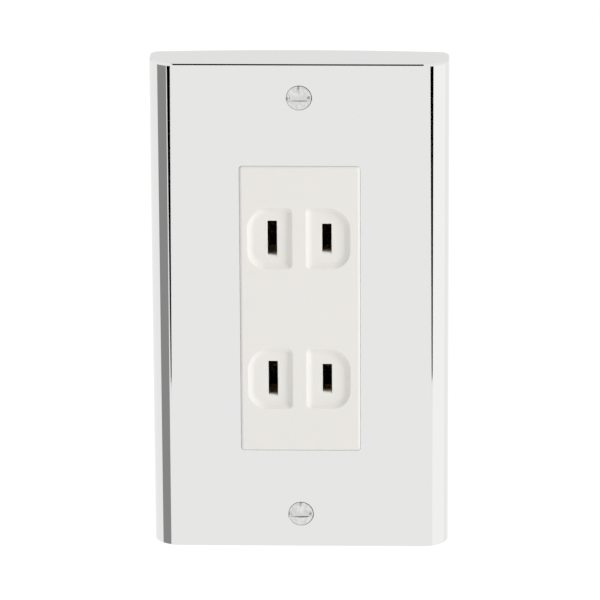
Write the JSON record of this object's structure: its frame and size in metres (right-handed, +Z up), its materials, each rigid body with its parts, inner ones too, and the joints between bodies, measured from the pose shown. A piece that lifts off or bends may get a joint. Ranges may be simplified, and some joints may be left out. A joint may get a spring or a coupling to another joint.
{
  "type": "duplex wall outlet",
  "caption": "Duplex wall outlet: chromed cover plate with rounded sides, one-piece face with paired blade slots in D-shaped recesses, steel strap and push-in terminal casing.",
  "frame": {"origin": "midway between the two box-screw holes, on the wall plane at the back of the mounting strap", "axes": "+X to the viewer's right, +Y into the wall, +Z up; the outlet faces -Y"},
  "size_m": [0.07, 0.0349, 0.12],
  "materials": {
    "chrome": "polished",
    "face_plastic": "smooth",
    "casing_plastic": "fine matt",
    "strap_steel": "zinc plated",
    "contact_brass": "bright",
    "spring_steel": "bright",
    "collar_nylon": "smooth",
    "button_plastic": "smooth"
  },
  "bodies": {
    "device": {"bus_bar_live": "contact_brass", "bus_bar_neutral": "contact_brass", "contact_lower_live": "contact_brass", "contact_lower_neutral": "contact_brass", "contact_rivets": "contact_brass", "contact_spring_lower_live": "spring_steel", "contact_spring_lower_neutral": "spring_steel", "contact_spring_upper_live": "spring_steel", "contact_spring_upper_neutral": "spring_steel", "contact_upper_live": "contact_brass", "contact_upper_neutral": "contact_brass", "cover_plate": "chrome", "front_housing": "face_plastic", "housing_rivets": "strap_steel", "lock_spring_lower_live": "spring_steel", "lock_spring_lower_neutral": "spring_steel", "lock_spring_upper_live": "spring_steel", "lock_spring_upper_neutral": "spring_steel", "mounting_strap": "strap_steel", "rear_housing": "casing_plastic"},
    "collar_upper": {"screw_collar_upper": "collar_nylon"},
    "screw_upper": {"cover_screw_upper": "chrome"},
    "collar_lower": {"screw_collar_lower": "collar_nylon"},
    "screw_lower": {"cover_screw_lower": "chrome"},
    "release_neutral": {"release_button_neutral": "button_plastic"},
    "release_live": {"release_button_live": "button_plastic"}
  },
  "joints": [
    {"name": "collar_upper_travel", "type": "slide", "parent": "device", "child": "collar_upper", "axis": [0, -1, 0], "range_m": [0, 0.0042]},
    {"name": "screw_upper_turn", "type": "hinge", "parent": "collar_upper", "child": "screw_upper", "pos_m": [0, -0.0065, 0.0518], "axis": [0, -1, 0], "range_deg": [0, 2521]},
    {"name": "collar_lower_travel", "type": "slide", "parent": "device", "child": "collar_lower", "axis": [0, -1, 0], "range_m": [0, 0.0042]},
    {"name": "screw_lower_turn", "type": "hinge", "parent": "collar_lower", "child": "screw_lower", "pos_m": [0, -0.0065, -0.0518], "axis": [0, -1, 0], "range_deg": [0, 2521]},
    {"name": "release_neutral_press", "type": "slide", "parent": "device", "child": "release_neutral", "axis": [0, -1, 0], "range_m": [0, 0.0012], "stiffness_N_per_m": 800, "deforming": ["lock_spring_upper_neutral", "lock_spring_lower_neutral"]},
    {"name": "release_live_press", "type": "slide", "parent": "device", "child": "release_live", "axis": [0, -1, 0], "range_m": [0, 0.0012], "stiffness_N_per_m": 800, "deforming": ["lock_spring_upper_live", "lock_spring_lower_live"]}
  ],
  "couplings": [
    {"joint": "screw_upper_turn", "follows": "collar_upper_travel", "rad_per_m": 10472},
    {"joint": "screw_lower_turn", "follows": "collar_lower_travel", "rad_per_m": 10472}
  ]
}
